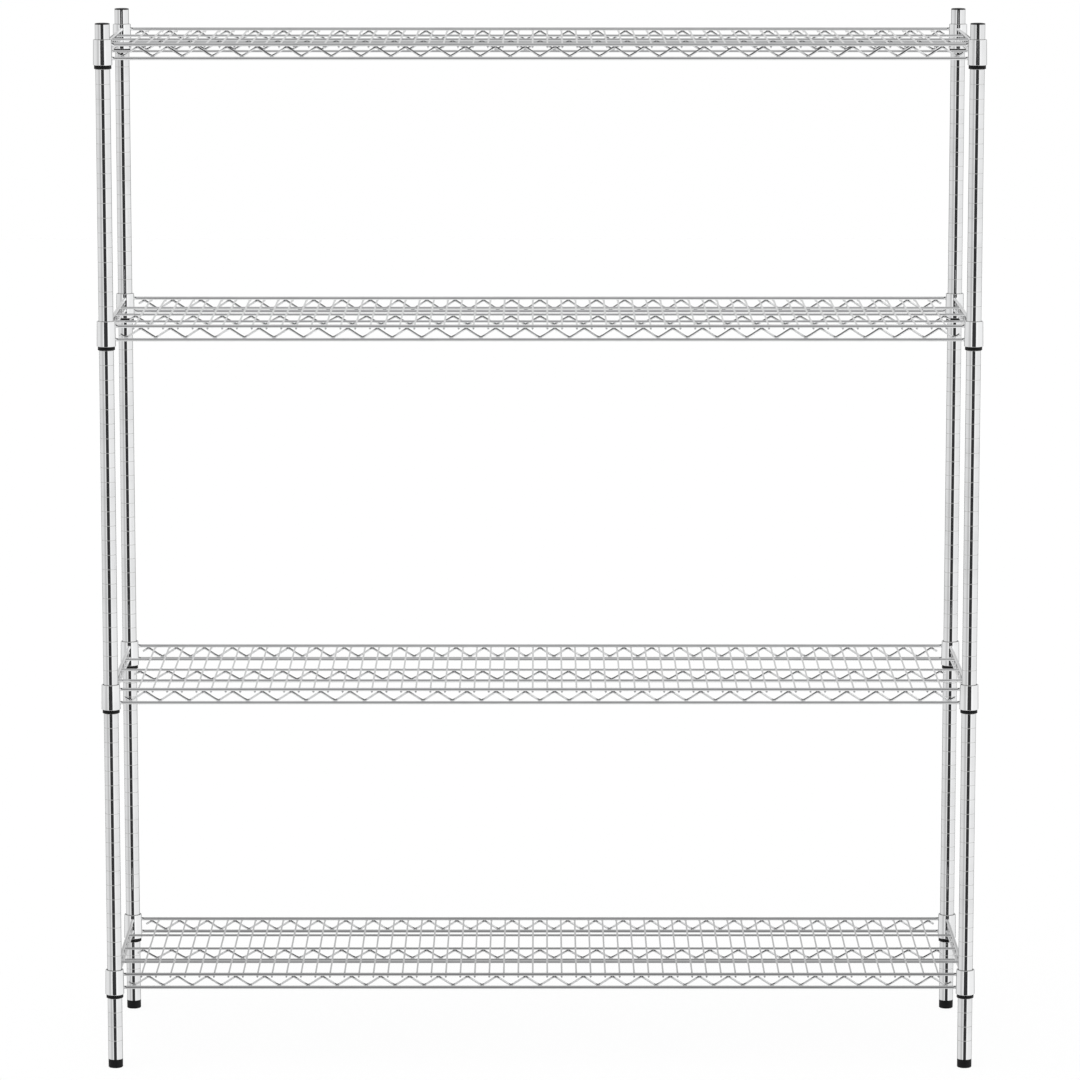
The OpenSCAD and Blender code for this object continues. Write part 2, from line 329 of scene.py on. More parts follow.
def quarter_turn(surface):
    """Turns a surface about Z by a quarter turn: X goes to Y, and Y to -X."""
    points, faces = surface
    return np.stack([-points[:, 1], points[:, 0], points[:, 2]], axis=-1), faces


def moved(surface, place):
    """A surface shifted as a whole."""
    return surface[0] + np.asarray(place, float), surface[1]


def places_at(x, y, z):
    """Places from three coordinates, each a number or a row of numbers; a single number holds for all."""
    return np.stack(np.broadcast_arrays(x, y, z), axis=-1).reshape(-1, 3).astype(float)


def copies(surface, places):
    """The same surface at each of many places: its points plus each place in turn."""
    points, faces = surface
    many = (places[:, None, :] + points[None, :, :]).reshape(-1, 3)
    step = np.arange(len(places))[:, None, None] * len(points)
    return many, [(f[None, :, :] + step).reshape(-1, f.shape[1]) for f in faces]


def rod(half_length, radius, sides, axis):
    """Straight wire centred on the origin: a cylinder whose ends are rounded over by the plating.

    Each end closes over a part of a flattened ellipse, r = R sqrt(1 - u^2) at a height of 0.7 R u.
    One more ring, a radius further in, keeps the length between the ends straight to the light.
    """
    dome = np.concatenate([DOME_STEPS[:1], DOME_STEPS])
    ring_r = radius * np.sqrt(1 - dome**2)
    ring_h = half_length - DOME_DEPTH * radius * (dome[-1] - dome)
    ring_h[0] -= radius
    low = np.stack([ring_r, -ring_h], axis=-1)[::-1]
    high = np.stack([ring_r, ring_h], axis=-1)
    return laid(turned(np.concatenate([low, high]), sides), axis)


def bent_wire(x, z, slope, radius, sides):
    """Bent wire over the X axis: a circle carried along a path of heights z, with flat ends.

    A point is path + r (n sin t + Y cos t), where n is the path's normal, (-slope, 0, 1) made 1 long,
    so the circle stays square to the path.
    """
    length = np.sqrt(1 + slope**2)
    c, s = circle(sides)
    points = np.empty((len(x), sides, 3))
    points[:, :, 0] = x[:, None] - (radius * slope / length)[:, None] * s
    points[:, :, 1] = radius[:, None] * c
    points[:, :, 2] = z[:, None] + (radius / length)[:, None] * s
    faces = [grid_quads(len(x), sides, wrap_columns=True), end_discs(len(x), sides)]
    return points.reshape(-1, 3), faces


def zigzag_wire(bends, middle, crest_z, valley_z):
    """Zigzag wire along X: a bent wire on a triangle wave with rounded bends.

    The wave is asin(k cos(pi s / pitch)) / asin(k), which is straight between its bends and round
    at them. middle says whether the centre has a crest or a valley.
    """
    steps = (np.arange(-bends, bends)[:, None] + BEND_STEPS[None, :]).ravel()
    tail = TAIL_STEPS * ZIGZAG_TAIL / CROSS_PITCH
    steps = np.concatenate([-bends - tail[:0:-1], steps, bends + tail])
    angle = math.pi * steps
    full = math.asin(ZIGZAG_SHARPNESS)
    half_rise = middle * (crest_z - valley_z) / 2
    swing = ZIGZAG_SHARPNESS * np.cos(angle)
    z = (crest_z + valley_z) / 2 + half_rise * np.arcsin(swing) / full
    slope_scale = half_rise * ZIGZAG_SHARPNESS * math.pi / (CROSS_PITCH * full)
    slope = -slope_scale * np.sin(angle) / np.sqrt(1 - swing**2)
    radius = np.full(len(steps), ZIGZAG_R)
    radius[[0, -1]] *= TAIL_TIP
    return bent_wire(steps * CROSS_PITCH, z, slope, radius, ZIGZAG_SIDES)


def deck_wire():
    """Cross wire along Y: level over the stringers, and dipping at both ends to pass under the rims.

    Its height is Z - slope (u + sqrt(u^2 + ease^2)) / 2, where u is the distance past the bend.
    """
    dip = math.tan(CROSS_DIP)
    bend = POST_Y - (CROSS_Z - CROSS_UNDER_Z) / dip
    tip = POST_Y + WIRE_OVER - DOME_DEPTH * CROSS_R * (DOME_STEPS[-1] - DOME_STEPS)
    half = np.concatenate([bend + CROSS_EASE * DIP_STEPS, tip])
    along = np.concatenate([-half[::-1], half])
    past = np.abs(along) - bend
    eased = np.sqrt(past**2 + CROSS_EASE**2)
    z = CROSS_Z - dip * (past + eased) / 2
    slope = -np.sign(along) * dip * (1 + past / eased) / 2
    radius = np.full(len(half), CROSS_R)
    radius[-len(DOME_STEPS):] *= np.sqrt(1 - DOME_STEPS**2)
    radius = np.concatenate([radius[::-1], radius])
    return quarter_turn(bent_wire(along, z, slope, radius, CROSS_SIDES))


def bead(half_sizes):
    """Weld bead: a low many-sided ellipsoid, r = sqrt(1 - u^2) at a height of u, with flat ends."""
    profile = np.stack([np.sqrt(1 - BEAD_RINGS**2), BEAD_RINGS], axis=-1)
    points, faces = turned(profile, BEAD_SIDES)
    return points * half_sizes, faces


def collar_r(below):
    """Outside radius of a collar at a distance below its top."""
    return COLLAR_TOP_R + COLLAR_TAPER * below / COLLAR_H


def rounded_corner(corner, before, after, size):
    """Points of a rounded profile corner: corner + size ((1 - t)^2 back + t^2 on) for t from 0 to 1.

    One more point lies a little further along each straight, so that the flats keep their own
    normals right up to the curve.
    """
    corner, before, after = (np.asarray(p, float) for p in (corner, before, after))
    back = (before - corner) / np.linalg.norm(before - corner)
    on = (after - corner) / np.linalg.norm(after - corner)
    t = np.linspace(0, 1, CORNER_STEPS)[:, None]
    curve = corner + size * ((1 - t) ** 2 * back + t**2 * on)
    hold = CORNER_HOLD * size
    return np.concatenate([[corner + hold * back], curve, [corner + hold * on]])


def rounded_profile(corners, sizes):
    """Profile whose corners are rounded by their own sizes; a size of 0 leaves a corner sharp."""
    out = []
    for i, (corner, size) in enumerate(zip(corners, sizes)):
        if size == 0:
            out.append(np.asarray([corner], float))
        else:
            out.append(rounded_corner(corner, corners[i - 1], corners[(i + 1) % len(corners)], size))
    return np.concatenate(out)


def post_surface(x, y):
    """Tube with rolled grooves: the radius dips by a raised cosine at every groove.

    r = R - depth (1 + cos(pi t)) / 2 for t from -1 to 1 across the groove. One more point beyond
    each edge of a groove keeps the plain tube straight to the light.
    """
    t = np.concatenate([[-GROOVE_HOLD], np.linspace(-1, 1, GROOVE_STEPS), [GROOVE_HOLD]])
    groove_z = FOOT_TOP + GROOVE_FIRST + GROOVE_PITCH * np.arange(GROOVE_COUNT)
    heights = (groove_z[:, None] + GROOVE_HALF_W * t[None, :]).ravel()
    dip = GROOVE_DEPTH * (1 + np.cos(math.pi * np.clip(t, -1, 1))) / 2
    radii = np.tile(POST_R - dip, GROOVE_COUNT)
    outside = np.stack([radii, heights], axis=-1)
    edge_r = POST_R - POST_EDGE
    low = [(POST_BORE_R, FOOT_TOP), (edge_r, FOOT_TOP), (POST_R, FOOT_TOP + POST_EDGE)]
    high = [(POST_R, POST_TOP - POST_EDGE), (edge_r, POST_TOP), (POST_BORE_R, POST_TOP)]
    return turned(np.concatenate([low, outside, high]), POST_SIDES, (x, y, 0), loop=True)


def cap_surface(x, y):
    """Cap: a plug, a thin flange and a crown that falls by the sixth power of the radius."""
    share = np.linspace(1.0, CAP_MIDDLE, CAP_STEPS)
    crown = np.stack([POST_R * share, CAP_H - CAP_CROWN * share**6], axis=-1)
    profile = np.concatenate([[(PLUG_R, -CAP_PLUG), (PLUG_R, 0), (POST_R, 0)], crown])
    return turned(profile, CAP_SIDES, (x, y, POST_TOP))


def foot_surface(x, y):
    """Levelling foot: a short drum with a rounded lower edge and a blind hole for its stem."""
    top = FOOT_TOP - FOOT_GAP
    corners = [
        (FOOT_MIDDLE_R, 0), (POST_R, 0), (POST_R, top), (STEM_HOLE_R, top),
        (STEM_HOLE_R, STEM_LOW), (HOLE_MIDDLE_R, STEM_LOW),
    ]
    profile = rounded_profile(corners, (0, FOOT_BEVEL, FOOT_ROUND, HOLE_ROUND, 0, 0))
    return turned(profile, FOOT_SIDES, (x, y, 0))


def stem_surface(x, y):
    """Threaded stem: the radius is a triangle wave of the height less a share of the turn."""
    heights = np.arange(STEM_LOW, STEM_HIGH, THREAD_PITCH / THREAD_STEPS)
    c, s = circle(STEM_SIDES)
    turns = heights[:, None] / THREAD_PITCH - np.arange(STEM_SIDES)[None, :] / STEM_SIDES
    depth = THREAD_DEPTH * np.abs(2 * (turns - np.floor(turns)) - 1)
    fade = np.clip((STEM_HIGH - heights) / THREAD_PITCH - THREAD_FADE, 0, 1)[:, None]
    radius = (STEM_R - THREAD_DEPTH) + (THREAD_DEPTH - depth) * fade
    points = np.stack(np.broadcast_arrays(radius * c, radius * s, heights[:, None]), axis=-1)
    faces = [grid_quads(len(heights), STEM_SIDES, wrap_columns=True), end_discs(len(heights), STEM_SIDES)]
    return points.reshape(-1, 3) + (x, y, 0), faces


def insert_surface(x, y):
    """Threaded insert: a thick ring inside the lower end of the post."""
    corners = [(STEM_HOLE_R, 0), (PLUG_R, 0), (PLUG_R, INSERT_H), (STEM_HOLE_R, INSERT_H)]
    profile = rounded_profile(corners, [INSERT_ROUND] * len(corners))
    return turned(profile, INSERT_SIDES, (x, y, FOOT_TOP), loop=True)


def sleeve_surface(x, y, z, turn):
    """Half of a split sleeve: a tapered profile carried round a little less than half a turn."""
    spread = COLLAR_TAPER / COLLAR_H
    corners = [
        (SLEEVE_IN_R, SLEEVE_LOW),
        (SLEEVE_TOP_R - spread * SLEEVE_LOW, SLEEVE_LOW),
        (SLEEVE_TOP_R - spread * SLEEVE_HIGH, SLEEVE_HIGH),
        (SLEEVE_IN_R, SLEEVE_HIGH),
    ]
    r, h = rounded_profile(corners, SLEEVE_ROUNDS).T
    angle = turn + np.linspace(SEAM_HALF_ANGLE, math.pi - SEAM_HALF_ANGLE, SLEEVE_STEPS)
    points = np.stack(np.broadcast_arrays(
        x + r[:, None] * np.cos(angle), y + r[:, None] * np.sin(angle), z + h[:, None]
    ), axis=-1)
    rows, columns = points.shape[:2]
    seam = (np.arange(rows) * columns)[None, :]
    faces = [grid_quads(rows, columns, wrap_rows=True), seam, seam[:, ::-1] + columns - 1]
    return points.reshape(-1, 3), faces


def collar_surface(x, y, z):
    """Collar: a tapered ring with rounded edges."""
    low_r = collar_r(COLLAR_H)
    corners = [
        (low_r - COLLAR_WALL, -COLLAR_H), (low_r, -COLLAR_H),
        (COLLAR_TOP_R, 0), (COLLAR_TOP_R - COLLAR_WALL, 0),
    ]
    rounds = (COLLAR_BORE_ROUND, COLLAR_ROUND, COLLAR_ROUND, COLLAR_BORE_ROUND)
    return turned(rounded_profile(corners, rounds), COLLAR_SIDES, (x, y, z), loop=True)


def weld_flare(collar_face):
    """Weld round a rim's end: it flares from the wire to the collar along a hollow curve."""
    profile = np.stack([RIM_R + FLARE_EXTRA, collar_face - FLARE_AWAY], axis=-1)
    return turned(profile, FLARE_SIDES)


def flared_rims(axis, half_span, cross_half, heights, z):
    """The four rim wires of two opposite sides, with the welds that join their ends to the collars."""
    surfaces = []
    for height in heights:
        reach = half_span - collar_r(-height)
        wire = rod(reach + RIM_TUCK, RIM_R, RIM_SIDES, axis)
        flare = laid(weld_flare(reach), axis)
        flare_opposite = quarter_turn(quarter_turn(flare))
        for side in (-cross_half, cross_half):
            place = (0, side, z + height) if axis == "x" else (side, 0, z + height)
            surfaces += [moved(s, place) for s in (wire, flare, flare_opposite)]
    return surfaces


def long_zigzags(z):
    """The zigzags of the front, centre and back trusses, which touch the wires above and below them."""
    surfaces = []
    for y, (upper, lower), radius, middle in LONG_TRUSSES:
        seat = radius + ZIGZAG_R - WELD_BITE
        surfaces.append(moved(zigzag_wire(LONG_BENDS, middle, upper - seat, lower + seat), (0, y, z)))
    return surfaces


def end_zigzags(z):
    """The zigzags of the two end trusses."""
    seat = RIM_R + ZIGZAG_R - WELD_BITE
    wire = quarter_turn(zigzag_wire(END_BENDS, VALLEY, END_RIM_Z[0] - seat, END_RIM_Z[1] + seat))
    return [moved(wire, (x, 0, z)) for x in (-POST_X, POST_X)]


def bend_welds(bends, heights, radius, middle):
    """Places along a truss and heights of the beads at its bends: crests weld above, and valleys below."""
    bend = np.arange(-bends, bends + 1)
    crest = (bend % 2 == 0) == (middle == CREST)
    return bend * CROSS_PITCH, np.where(crest, heights[0] - radius, heights[1] + radius)


def shelf_welds(z):
    """Beads of one shelf: where each cross wire meets what it lies on, and at each zigzag bend."""
    cross_bead = bead(CROSS_BEAD)
    long_bead = bead(BEND_BEAD)
    end_bead = quarter_turn(long_bead)
    under_rim = z + RIM_Z[0] - RIM_R
    under_cross = z + CROSS_Z - CROSS_R
    under_end = z + END_RIM_Z[0] - RIM_R
    surfaces = [copies(cross_bead, places_at(CROSS_X, y, under_rim)) for y in (-POST_Y, POST_Y)]
    stringers = (-STRINGER_Y, 0.0, STRINGER_Y)
    surfaces += [copies(cross_bead, places_at(CROSS_X, y, under_cross)) for y in stringers]
    for y, heights, radius, middle in LONG_TRUSSES:
        along, height = bend_welds(LONG_BENDS, heights, radius, middle)
        surfaces.append(copies(long_bead, places_at(along, y, z + height)))
    along, height = bend_welds(END_BENDS, END_RIM_Z, RIM_R, VALLEY)
    for x in (-POST_X, POST_X):
        surfaces.append(copies(end_bead, places_at(x, along, z + height)))
        surfaces.append(copies(end_bead, places_at(x, stringers, under_end)))
    return surfaces


def mesh_of(name, surfaces):
    """One mesh from many surfaces: their points end to end, and their faces renumbered to match."""
    corner_lists, sizes = [], []
    start = 0
    for points, faces in surfaces:
        for f in faces:
            corner_lists.append((f + start).ravel())
            sizes.append(np.full(len(f), f.shape[1]))
        start += len(points)
    points = np.concatenate([s[0] for s in surfaces]).astype(np.float32)
    corners = np.concatenate(corner_lists).astype(np.int32)
    sizes = np.concatenate(sizes)
    mesh = bpy.data.meshes.new(name)
    mesh.vertices.add(len(points))
    mesh.vertices.foreach_set("co", points.ravel())
    mesh.loops.add(len(corners))
    mesh.loops.foreach_set("vertex_index", corners)
    mesh.polygons.add(len(sizes))
    mesh.polygons.foreach_set("loop_start", (np.cumsum(sizes) - sizes).astype(np.int32))
    mesh.update(calc_edges=True)
    mesh.validate()
    mesh.polygons.foreach_set("use_smooth", np.ones(len(mesh.polygons), bool))
    mesh.set_sharp_from_angle(angle=SHARP_EDGE)
    return mesh


def add_piece(name, surfaces, material, body, slot, *nodes):
    """Puts surfaces into the scene as one piece that rides on a body and stands for CAD nodes."""
    piece = bpy.data.objects.new(name, mesh_of(name, surfaces))
    bpy.context.scene.collection.objects.link(piece)
    piece.data.materials.append(material)
    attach(piece, body)
    if nodes:
        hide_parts(*nodes)
    return piece


def add_slim_chrome(name, surfaces, material, body, *nodes):
    """Posts, wires and welds: too slim to show as more than specks and lines in a mirror finish."""
    piece = add_piece(name, surfaces, material, body, "chrome", *nodes)
    piece.visible_glossy = False


def add_node(tree, kind, links=(), **settings):
    """Adds a shader node, sets its properties, and fills inputs by name or number with values or links."""
    made = tree.nodes.new(kind)
    for key, value in settings.items():
        setattr(made, key, value)
    for socket, value in dict(links).items():
        if isinstance(value, bpy.types.NodeSocket):
            tree.links.new(value, made.inputs[socket])
        else:
            made.inputs[socket].default_value = value
    return made


def calc(tree, operation, *values):
    """A Math node's result."""
    return add_node(tree, "ShaderNodeMath", enumerate(values), operation=operation).outputs[0]


def product(tree, first, *others):
    """Values multiplied together."""
    for value in others:
        first = calc(tree, "MULTIPLY", first, value)
    return first


def largest(tree, first, *others):
    """The largest of some values."""
    for value in others:
        first = calc(tree, "MAXIMUM", first, value)
    return first


def soft_step(tree, value, low, high):
    """A value that rises smoothly from 0 at low to 1 at high."""
    links = {"Value": value, "From Min": low, "From Max": high}
    return add_node(tree, "ShaderNodeMapRange", links, interpolation_type="SMOOTHSTEP").outputs["Result"]


def soft_drop(tree, value, low, high):
    """A value that falls smoothly from 1 at low to 0 at high."""
    return calc(tree, "SUBTRACT", 1.0, soft_step(tree, value, low, high))


def band(tree, value, low, high, soft):
    """A value that is 1 between low and high and falls smoothly to 0 outside them."""
    rise = soft_step(tree, value, low - soft, low + soft)
    fall = soft_step(tree, value, high - soft, high + soft)
    return calc(tree, "SUBTRACT", rise, fall)


def ranged(tree, value, low, high):
    """A value from 0 to 1 spread over a range."""
    links = {"Value": value, "To Min": low, "To Max": high}
    return add_node(tree, "ShaderNodeMapRange", links).outputs["Result"]


def blended(tree, factor, first, second):
    """A colour between two by a factor; each is red, green and blue, or another node's result."""
    first, second = (v if isinstance(v, bpy.types.NodeSocket) else (*v, 1) for v in (first, second))
    links = {"Factor": factor, MIX_FIRST: first, MIX_SECOND: second}
    return add_node(tree, "ShaderNodeMix", links, data_type="RGBA").outputs[MIX_RESULT]


def object_place(tree):
    """The place of a point on its piece."""
    return add_node(tree, "ShaderNodeTexCoord").outputs["Object"]


def noise(tree, place, scale, detail, roughness=0.5):
    """Soft noise from 0 to 1."""
    links = {"Vector": place, "Scale": scale, "Detail": detail, "Roughness": roughness}
    return add_node(tree, "ShaderNodeTexNoise", links).outputs["Fac"]


def new_group(name, inputs, outputs):
    """An empty shader node group with named sockets, and its input and output nodes."""
    tree = bpy.data.node_groups.new(name, "ShaderNodeTree")
    for label, kind, value in inputs:
        socket = tree.interface.new_socket(label, in_out="INPUT", socket_type=kind)
        socket.default_value = value
    for label in outputs:
        tree.interface.new_socket(label, in_out="OUTPUT", socket_type="NodeSocketFloat")
    return tree, tree.nodes.new("NodeGroupInput"), tree.nodes.new("NodeGroupOutput")


def plating_group():
    """Bright plating: handling marks in broad soft patches, and fine lines drawn along the metal."""
    inputs = [("Draw", "NodeSocketVector", UNDRAWN), ("Patch", "NodeSocketFloat", PATCH_SCALE)]
    tree, given, result = new_group("plating", inputs, ["Marks", "Lines"])
    place = object_place(tree)
    patches = noise(tree, place, given.outputs["Patch"], PATCH_DETAIL, PATCH_ROUGHNESS)
    marks = soft_step(tree, patches, MARKS_FROM, MARKS_FULL)
    along = add_node(tree, "ShaderNodeVectorMath", {0: place, 1: given.outputs["Draw"]}, operation="MULTIPLY")
    lines = noise(tree, along.outputs[0], LINE_SCALE, LINE_DETAIL)
    tree.links.new(marks, result.inputs["Marks"])
    tree.links.new(lines, result.inputs["Lines"])
    return tree


def grain_group():
    """Moulded grain: small cells that pit the surface, under a slower change of tone."""
    inputs = [("Scale", "NodeSocketFloat", GRAIN_SCALE)]
    tree, given, result = new_group("moulded grain", inputs, ["Height", "Tone"])
    place = object_place(tree)
    cells = add_node(tree, "ShaderNodeTexVoronoi", {"Vector": place, "Scale": given.outputs["Scale"]})
    tree.links.new(cells.outputs["Distance"], result.inputs["Height"])
    tree.links.new(noise(tree, place, TONE_SCALE, TONE_DETAIL), result.inputs["Tone"])
    return tree


def new_finish(name):
    """A material with nodes, its tree and its Principled shader."""
    material = bpy.data.materials.new(name)
    material.use_nodes = True
    tree = material.node_tree
    return material, tree, tree.nodes["Principled BSDF"]


def add_bump(tree, shader, height, strength, depth):
    """Gives a shader's surface a fine relief."""
    links = {"Strength": strength, "Distance": depth, "Height": height}
    bump = add_node(tree, "ShaderNodeBump", links)
    tree.links.new(bump.outputs["Normal"], shader.inputs["Normal"])


def painted_groove_shade(tree):
    """A mask of painted shade that is 1 along each groove of a post and falls to 0 just outside it.

    A triangle wave of the height gives the distance to the nearest groove, in groove spacings.
    """
    height = add_node(tree, "ShaderNodeSeparateXYZ", {0: object_place(tree)}).outputs["Z"]
    above_first = calc(tree, "SUBTRACT", height, FOOT_TOP + GROOVE_FIRST)
    spacings = calc(tree, "DIVIDE", above_first, GROOVE_PITCH)
    from_groove = calc(tree, "PINGPONG", spacings, 0.5)
    near_groove = soft_drop(tree, from_groove, GROOVE_SHADE_CORE, GROOVE_SHADE_EDGE)
    below_last = calc(tree, "LESS_THAN", spacings, GROOVE_COUNT - 0.5)
    past_first = calc(tree, "GREATER_THAN", spacings, -0.5)
    return product(tree, near_groove, below_last, past_first)


def chrome_finish(name, group, draw, clean, dull, roughness, line_depth, grooved=False):
    """Chrome plate: clean to dull colour and roughness by its handling marks, with fine drawn lines.

    draw scales the lines' noise, so the lines run along the axis with the small number. On a post,
    shade is painted into the plate's colour along the grooves.
    """
    material, tree, shader = new_finish(name)
    plate = add_node(tree, "ShaderNodeGroup", {}, node_tree=group)
    plate.inputs["Draw"].default_value = draw
    shader.inputs["Metallic"].default_value = 1.0
    marks = plate.outputs["Marks"]
    colour = blended(tree, marks, clean, dull)
    if grooved:
        # Painted shade: the post's colour darkens along each groove
        colour = blended(tree, painted_groove_shade(tree), colour, GROOVE_SHADE_COLOUR)
    tree.links.new(colour, shader.inputs["Base Color"])
    tree.links.new(ranged(tree, marks, *roughness), shader.inputs["Roughness"])
    add_bump(tree, shader, plate.outputs["Lines"], LINE_STRENGTH, line_depth)
    return material


def wire_finishes(level, group):
    """Chrome of one shelf's long wires, cross wires and zigzags, with light and shade painted into the colour
    by the shelf's height.
    """
    # Painted light and shade by the shelf's height; the zigzags take half of it
    clean_shaded = [SHELF_LIGHT_AND_SHADE[level] * c for c in CLEAN]
    dull_shaded = [SHELF_LIGHT_AND_SHADE[level] * c for c in DULL]
    between = [(b + c) / 2 for b, c in zip(clean_shaded, CLEAN)]
    rows = (
        ("long wire chrome", DRAWN_ALONG_X, clean_shaded, dull_shaded, WIRE_ROUGHNESS),
        ("cross wire chrome", DRAWN_ALONG_Y, clean_shaded, dull_shaded, WIRE_ROUGHNESS),
        ("zigzag chrome", ZIGZAG_DRAW, between, DULL, ZIGZAG_ROUGHNESS),
    )
    return [chrome_finish(f"{level} {name}", group, *row, WIRE_LINES) for name, *row in rows]


def plastic_finish(name, group):
    """Black moulded plastic with a fine grain and a slight change of tone and gloss."""
    material, tree, shader = new_finish(name)
    mould = add_node(tree, "ShaderNodeGroup", {}, node_tree=group)
    tone = mould.outputs["Tone"]
    tree.links.new(blended(tree, tone, PLASTIC_DEEP, PLASTIC_PALE), shader.inputs["Base Color"])
    tree.links.new(ranged(tree, tone, *PLASTIC_ROUGHNESS), shader.inputs["Roughness"])
    shader.inputs["Specular IOR Level"].default_value = PLASTIC_SPECULAR
    add_bump(tree, shader, mould.outputs["Height"], GRAIN_STRENGTH, GRAIN_DEPTH)
    return material


def side_walls(tree, bearing):
    """Brightness of the studio's walls all the way round, from the back over the left and the front."""
    walls = add_node(tree, "ShaderNodeValToRGB", {"Fac": calc(tree, "MULTIPLY_ADD", bearing, 0.5, 0.5)})
    ramp = walls.color_ramp
    for _ in range(len(WALL_LEVELS) - len(ramp.elements)):
        ramp.elements.new(0.5)
    for element, (position, level) in zip(ramp.elements, WALL_LEVELS):
        element.position = position
        element.color = (level, level, level, 1)
    return walls.outputs["Color"]


def mirrored_studio(tree):
    """What metal sees: white side walls, a grey ceiling and a grey pillar on the end wall.

    The ceiling starts where Z passes a slope of |X|, the line along which a long side wall's top
    runs to its vanishing point, and starts higher towards the back. It is lighter along its ridge.
    On the end wall behind the camera, an unlit beam crosses the pillar, which is mostly unlit too
    except near its foot and top. Dark flags stand low down to each side, and there are dark gaps
    between the walls at the back.
    """
    way = add_node(tree, "ShaderNodeTexCoord").outputs["Generated"]
    x, y, z = add_node(tree, "ShaderNodeSeparateXYZ", {0: way}).outputs
    side = calc(tree, "ABSOLUTE", x)
    to_front = calc(tree, "MULTIPLY", y, -1.0)
    bearing = calc(tree, "DIVIDE", calc(tree, "ARCTAN2", x, to_front), math.pi)
    off_axis = calc(tree, "ABSOLUTE", bearing)

    back = largest(tree, calc(tree, "ADD", y, WALL_BACK_FROM), 0.0)
    top_by_back = calc(tree, "MULTIPLY_ADD", back, WALL_BACK_RISE, WALL_TOP)
    wall_top = calc(tree, "MULTIPLY_ADD", side, WALL_SLOPE, top_by_back)
    ceiling = soft_step(tree, calc(tree, "SUBTRACT", z, wall_top), -CEILING_SOFT, CEILING_SOFT)
    ceiling_colour = blended(tree, soft_step(tree, side, *RIDGE_SIDE), CEILING_RIDGE, CEILING_GREY)

    end_wall = soft_drop(tree, off_axis, *END_WALL_BEARING)
    pillar = product(tree, end_wall, soft_drop(tree, side, *PILLAR_SIDE))
    grey_pillar = product(tree, soft_step(tree, z, *PILLAR_FOOT), pillar)
    gaps = product(tree, band(tree, off_axis, *GAP_BEARING, GAP_SOFT), GAP_DARKNESS)
    grey = largest(tree, ceiling, grey_pillar, gaps)

    pillar_low = soft_step(tree, z, *PILLAR_DARK_LOW)
    pillar_high = soft_drop(tree, z, *PILLAR_DARK_HIGH)
    dark_pillar = product(tree, pillar, pillar_low, pillar_high, PILLAR_DARKNESS)
    dark_beam = product(tree, end_wall, band(tree, z, *BEAM_HEIGHT, BEAM_SOFT))
    flag_places = largest(tree, *(band(tree, off_axis, *b, FLAG_SOFT) for b in FLAG_BEARINGS))
    flag_low = soft_step(tree, z, *FLAG_LOW)
    flag_heights = calc(tree, "SUBTRACT", flag_low, soft_step(tree, z, *FLAG_HIGH))
    flags = product(tree, flag_places, flag_heights)
    unlit = largest(tree, flags, dark_pillar, dark_beam)

    room = blended(tree, grey, side_walls(tree, bearing), ceiling_colour)
    return blended(tree, unlit, room, UNLIT)


def studio_world():
    """White to the camera, a studio to metal, and an even light to everything else."""
    world = bpy.data.worlds.new("studio")
    bpy.context.scene.world = world
    world.use_nodes = True
    tree = world.node_tree
    tree.nodes.clear()
    path = add_node(tree, "ShaderNodeLightPath")
    mirror = largest(tree, path.outputs["Is Glossy Ray"], path.outputs["Is Transmission Ray"])
    light = blended(tree, mirror, EVEN_LIGHT, mirrored_studio(tree))
    seen = blended(tree, path.outputs["Is Camera Ray"], light, WHITE)
    background = add_node(tree, "ShaderNodeBackground", {"Color": seen, "Strength": 1.0})
    output = add_node(tree, "ShaderNodeOutputWorld")
    tree.links.new(background.outputs[0], output.inputs["Surface"])


def studio_floor():
    """Pale floor: to the camera mostly clear over the white beyond, with some matt white for the shadow.

    A levelling foot that is screwed out below the floor's level is seen through it.
    """
    h = FLOOR_HALF
    points = np.array([(-h, -h, 0), (h, -h, 0), (h, h, 0), (-h, h, 0)])
    floor = bpy.data.objects.new("floor", mesh_of("floor", [(points, [np.array([[0, 1, 2, 3]])])]))
    bpy.context.scene.collection.objects.link(floor)
    material, tree, shader = new_finish("floor paint")
    shader.inputs["Base Color"].default_value = FLOOR_PAINT
    shader.inputs["Roughness"].default_value = FLOOR_ROUGHNESS
    clear = add_node(tree, "ShaderNodeBsdfTransparent", {"Color": (*WHITE, 1)})
    path = add_node(tree, "ShaderNodeLightPath")
    share = product(tree, path.outputs["Is Camera Ray"], FLOOR_CLEAR)
    mixed = add_node(tree, "ShaderNodeMixShader", {0: share, 1: shader.outputs[0], 2: clear.outputs[0]})
    tree.links.new(mixed.outputs[0], tree.nodes["Material Output"].inputs["Surface"])
    floor.data.materials.append(material)
    floor.visible_glossy = False


def studio_lamp():
    """Even light from overhead, spread over a wide angle and leaning a little from the upright."""
    data = bpy.data.lights.new("overhead lamp", "SUN")
    data.angle = LAMP_SPREAD
    data.energy = LAMP_STRENGTH
    lamp = bpy.data.objects.new("overhead lamp", data)
    lamp.rotation_euler = LAMP_LEAN
    bpy.context.scene.collection.objects.link(lamp)
    lamp.visible_glossy = False
    lamp.visible_camera = False


def studio_camera():
    """Camera at the photograph's angle: far off, a little above the rack and tipped down."""
    data = bpy.data.cameras.new("camera")
    data.sensor_width = CAMERA_SENSOR
    data.lens = CAMERA_LENS
    data.clip_end = CAMERA_REACH
    camera = bpy.data.objects.new("camera", data)
    camera.location = CAMERA_PLACE
    camera.rotation_euler = (math.pi / 2 - CAMERA_TIP, 0, 0)
    bpy.context.scene.collection.objects.link(camera)
    bpy.context.scene.camera = camera


studio_camera()
studio_world()
studio_floor()
studio_lamp()

